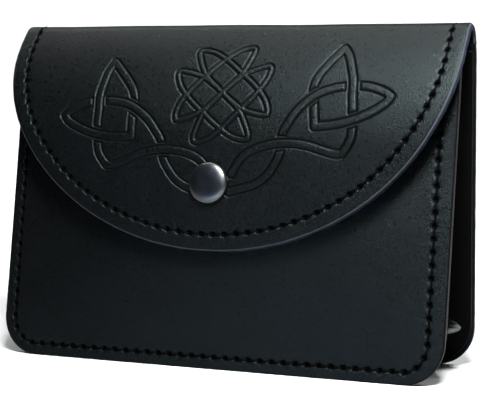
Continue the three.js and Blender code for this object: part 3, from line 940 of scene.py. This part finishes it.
# Stitching
FAR_FACE = HIDE + GAP + GUSSET_HIDE
for stitch in (
    stitches("flap_stitches", FLAP_SEAM, hide_place, 0, 1, THREAD),
    stitches("flap_stitches_under", FLAP_SEAM, hide_place, HIDE, -1, THREAD),
    stitches("back_stitches", BACK_SEAM, hide_place, 0, 1, THREAD),
    stitches("back_stitches_inside", BACK_SEAM, hide_place, FAR_FACE, -1, THREAD),
    stitches("front_stitches", FRONT_SEAM, front_place, 0, 1, THREAD),
    stitches("front_stitches_inside", FRONT_SEAM, front_place, FAR_FACE, -1, THREAD),
    stitches("loop_stitches_low", LOOP_SEAMS[0], loop_place, 0, 1, THREAD),
    stitches("loop_stitches_high", LOOP_SEAMS[1], loop_place, 0, 1, THREAD),
):
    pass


# The press stud's cap
def make_cap():
    """The cap turned about the stud's axis: a rolled rim and a dome, as pairs of radius and height."""
    profile = [(0, 0.0)]
    profile += [(CAP_RADIUS - inset, height) for inset, height in CAP_RIM]
    dome = CAP_HEIGHT - CAP_DOME_FOOT
    for angle in np.radians(np.linspace(CAP_DOME_START, 90, CAP_DOME_RINGS)):
        height = CAP_DOME_FOOT + dome * math.sin(angle) ** CAP_FULLNESS
        profile.append((CAP_RADIUS * math.cos(angle) ** CAP_FULLNESS, height))
    profile[-1] = (0, CAP_HEIGHT)
    turns = np.linspace(0, 2 * math.pi, CAP_SPOKES + 1)[:-1]
    y, z, heading = hide_line(HIDE_LENGTH - SNAP_FROM_TIP)
    out = np.array([0, math.sin(heading), -math.cos(heading)])
    side = np.array([1.0, 0, 0])
    up = np.cross(out, side)
    base = np.array([0, y, z]) + out * GAP
    rings = [base + out * profile[0][1] + 0 * turns[:1, None]]
    spokes = np.cos(turns)[:, None] * side + np.sin(turns)[:, None] * up
    for radius, height in profile[1:-1]:
        rings.append(base + out * height + radius * spokes)
    rings.append(base + out * profile[-1][1] + 0 * turns[:1, None])
    points = np.vstack(rings)
    count = len(turns)
    faces = [[0, 1 + (k + 1) % count, 1 + k] for k in range(count)]
    for r in range(len(rings) - 3):
        low, high = 1 + r * count, 1 + (r + 1) * count
        faces += [[low + k, low + (k + 1) % count, high + (k + 1) % count, high + k] for k in range(count)]
    last, first = len(points) - 1, 1 + (len(rings) - 3) * count
    faces += [[first + k, first + (k + 1) % count, last] for k in range(count)]
    made = make_object("stud_cap", points, faces, [NICKEL])
    out_from_axis = np.linalg.norm(np.cross(points - base, out), axis=1)
    # marks the rim for its brighter plate: rubbed wear and a painted highlight
    rim = smoothstep(CAP_RUB_AND_SHEEN_START * CAP_RADIUS, CAP_RADIUS, out_from_axis)
    add_attribute(made, "rim", rim)
    return made


cap = make_cap()
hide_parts("snap_cap")
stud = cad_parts["snap_stud"]
stud.data.materials.clear()
stud.data.materials.append(NICKEL)


# Floor, light and camera
def make_floor():
    """A pale sweep, in metres: a floor that curves up to a low wall behind the pouch."""
    near, far, wall_top, sweep, side = -2.5, 0.9, 0.55, 0.4, 8.0
    turns = np.radians(np.linspace(0, 90, 25))
    curve = [(far + sweep * math.sin(turn), sweep * (1 - math.cos(turn))) for turn in turns]
    line = [(near, 0.0), *curve, (far + sweep, wall_top)]
    points = [(x, y, z) for y, z in line for x in (-side, side)]
    faces = [(2 * k, 2 * k + 1, 2 * k + 3, 2 * k + 2) for k in range(len(line) - 1)]
    mesh = bpy.data.meshes.new("floor")
    mesh.from_pydata(points, [], faces)
    mesh.polygons.foreach_set("use_smooth", [True] * len(faces))
    mesh.materials.append(new_material("pale_floor", (0.22, 0.22, 0.22), 0.9)[0])
    floor = bpy.data.objects.new("floor", mesh)
    bpy.context.scene.collection.objects.link(floor)


def area_light(name, place, aim, size, power, colour=(1, 1, 1)):
    light = bpy.data.lights.new(name, "AREA")
    light.shape = "RECTANGLE"
    light.size, light.size_y = size
    light.energy = power
    light.color = colour
    made = bpy.data.objects.new(name, light)
    made.location = place
    made.rotation_euler = (Vector(aim) - Vector(place)).to_track_quat("-Z", "Y").to_euler()
    bpy.context.scene.collection.objects.link(made)


def make_lights():
    """Places and sizes in metres, powers in watts."""
    world = bpy.context.scene.world or bpy.data.worlds.new("studio")
    bpy.context.scene.world = world
    world.use_nodes = True
    world.node_tree.nodes["Background"].inputs["Color"].default_value = (0.93, 0.97, 1, 1)
    world.node_tree.nodes["Background"].inputs["Strength"].default_value = 0.05
    area_light("key", (0.16, -0.26, 0.47), (0.05, 0, 0.09), (0.15, 0.15), 24.5, (0.97, 1, 1))
    area_light("top", (0, 0.45, 1.5), (0, 0, 0.1), (2.4, 0.4), 55)
    area_light("wall", (0, 0.3, 0.6), (0, 1.2, 0.1), (2.4, 0.4), 70)
    area_light("fill", (0.06, -0.29, 0.25), (0.03, 0, 0.06), (0.12, 0.12), 0.58, (0.93, 0.97, 1))
    area_light("bounce", (0.02, -0.2, 0.009), (0.02, -0.02, 0.009), (0.22, 0.016), 0.26, (0.6, 0.78, 1))


CAMERA_TARGET = (4.56, -9.81, 56.88)  # y from the back's outer face
CAMERA_AZIMUTH = math.radians(22.92)
CAMERA_ELEVATION = math.radians(6.89)
CAMERA_ROLL = math.radians(-0.62)
CAMERA_DISTANCE = 584.66
CAMERA_LENS = 111.35


def make_camera():
    data = bpy.data.cameras.new("camera")
    data.lens = CAMERA_LENS
    data.sensor_width = 36
    camera = bpy.data.objects.new("camera", data)
    a, e, r = CAMERA_AZIMUTH, CAMERA_ELEVATION, CAMERA_ROLL
    back = Vector((math.sin(a) * math.cos(e), -math.cos(a) * math.cos(e), math.sin(e)))
    right = Vector((math.cos(a), math.sin(a), 0))
    up = back.cross(right)
    rolled_right = right * math.cos(r) + up * math.sin(r)
    rolled_up = up * math.cos(r) - right * math.sin(r)
    x, y, z = CAMERA_TARGET
    target = Vector((x, y + BACK_Y, z)) * MM
    turn = Matrix((rolled_right, rolled_up, back)).transposed().to_4x4()
    camera.matrix_world = Matrix.Translation(target + back * CAMERA_DISTANCE * MM) @ turn
    bpy.context.scene.collection.objects.link(camera)
    bpy.context.scene.camera = camera


make_floor()
make_lights()
make_camera()
bpy.context.scene.view_settings.view_transform = "Standard"
